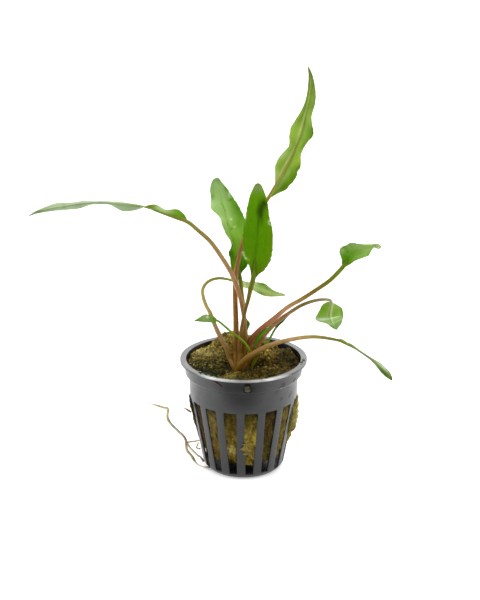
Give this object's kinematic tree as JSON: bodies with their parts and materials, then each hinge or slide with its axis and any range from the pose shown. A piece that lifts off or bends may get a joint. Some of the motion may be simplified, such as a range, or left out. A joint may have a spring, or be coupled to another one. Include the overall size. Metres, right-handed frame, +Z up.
{
  "type": "potted cryptocoryne",
  "caption": "Small aquarium plant of slender stalked leaves and loose roots, growing from a rock-wool plug in a slotted round grey net pot.",
  "frame": {"origin": "centre of the pot's flat underside", "axes": "+Z up from the pot's foot to the tallest leaf; +X to the right and +Y away from someone who sees the long leaf on the left and the tall leaf on the right"},
  "size_m": [0.1493, 0.0558, 0.1774],
  "materials": {
    "grey_plastic": "moulded grey plastic, satin, with fine scratches",
    "rock_wool": "damp ochre mineral fibre with dark and green-stained patches",
    "crown": "fleshy, ribbed, satin",
    "leaf_stalk": "smooth fleshy stalk, red-brown turning olive towards the blade, satin",
    "leaf_blade": "smooth waxy green leaf with fine lengthwise veins, glossy where wet",
    "root": "pale fleshy root with brown joints, satin"
  },
  "bodies": {
    "root": {"pot": "grey_plastic", "wool_plug": "rock_wool", "crown": "crown", "tall_stalk": "leaf_stalk", "back_stalk": "leaf_stalk", "front_stalk": "leaf_stalk", "long_stalk": "leaf_stalk", "looped_stalk": "leaf_stalk", "small_stalk": "leaf_stalk", "upper_stalk": "leaf_stalk", "hanging_stalk": "leaf_stalk", "low_stalk": "leaf_stalk", "young_stalk": "leaf_stalk", "thin_stalk": "leaf_stalk", "tiny_stalk": "leaf_stalk", "tall_blade": "leaf_blade", "back_blade": "leaf_blade", "front_blade": "leaf_blade", "long_blade": "leaf_blade", "looped_blade": "leaf_blade", "small_blade": "leaf_blade", "upper_blade": "leaf_blade", "hanging_blade": "leaf_blade", "low_blade": "leaf_blade", "young_blade": "leaf_blade", "thin_blade": "leaf_blade", "tiny_blade": "leaf_blade", "root_main": "root", "root_low": "root", "root_level": "root", "root_kinked": "root", "root_stub": "root"}
  },
  "joints": []
}
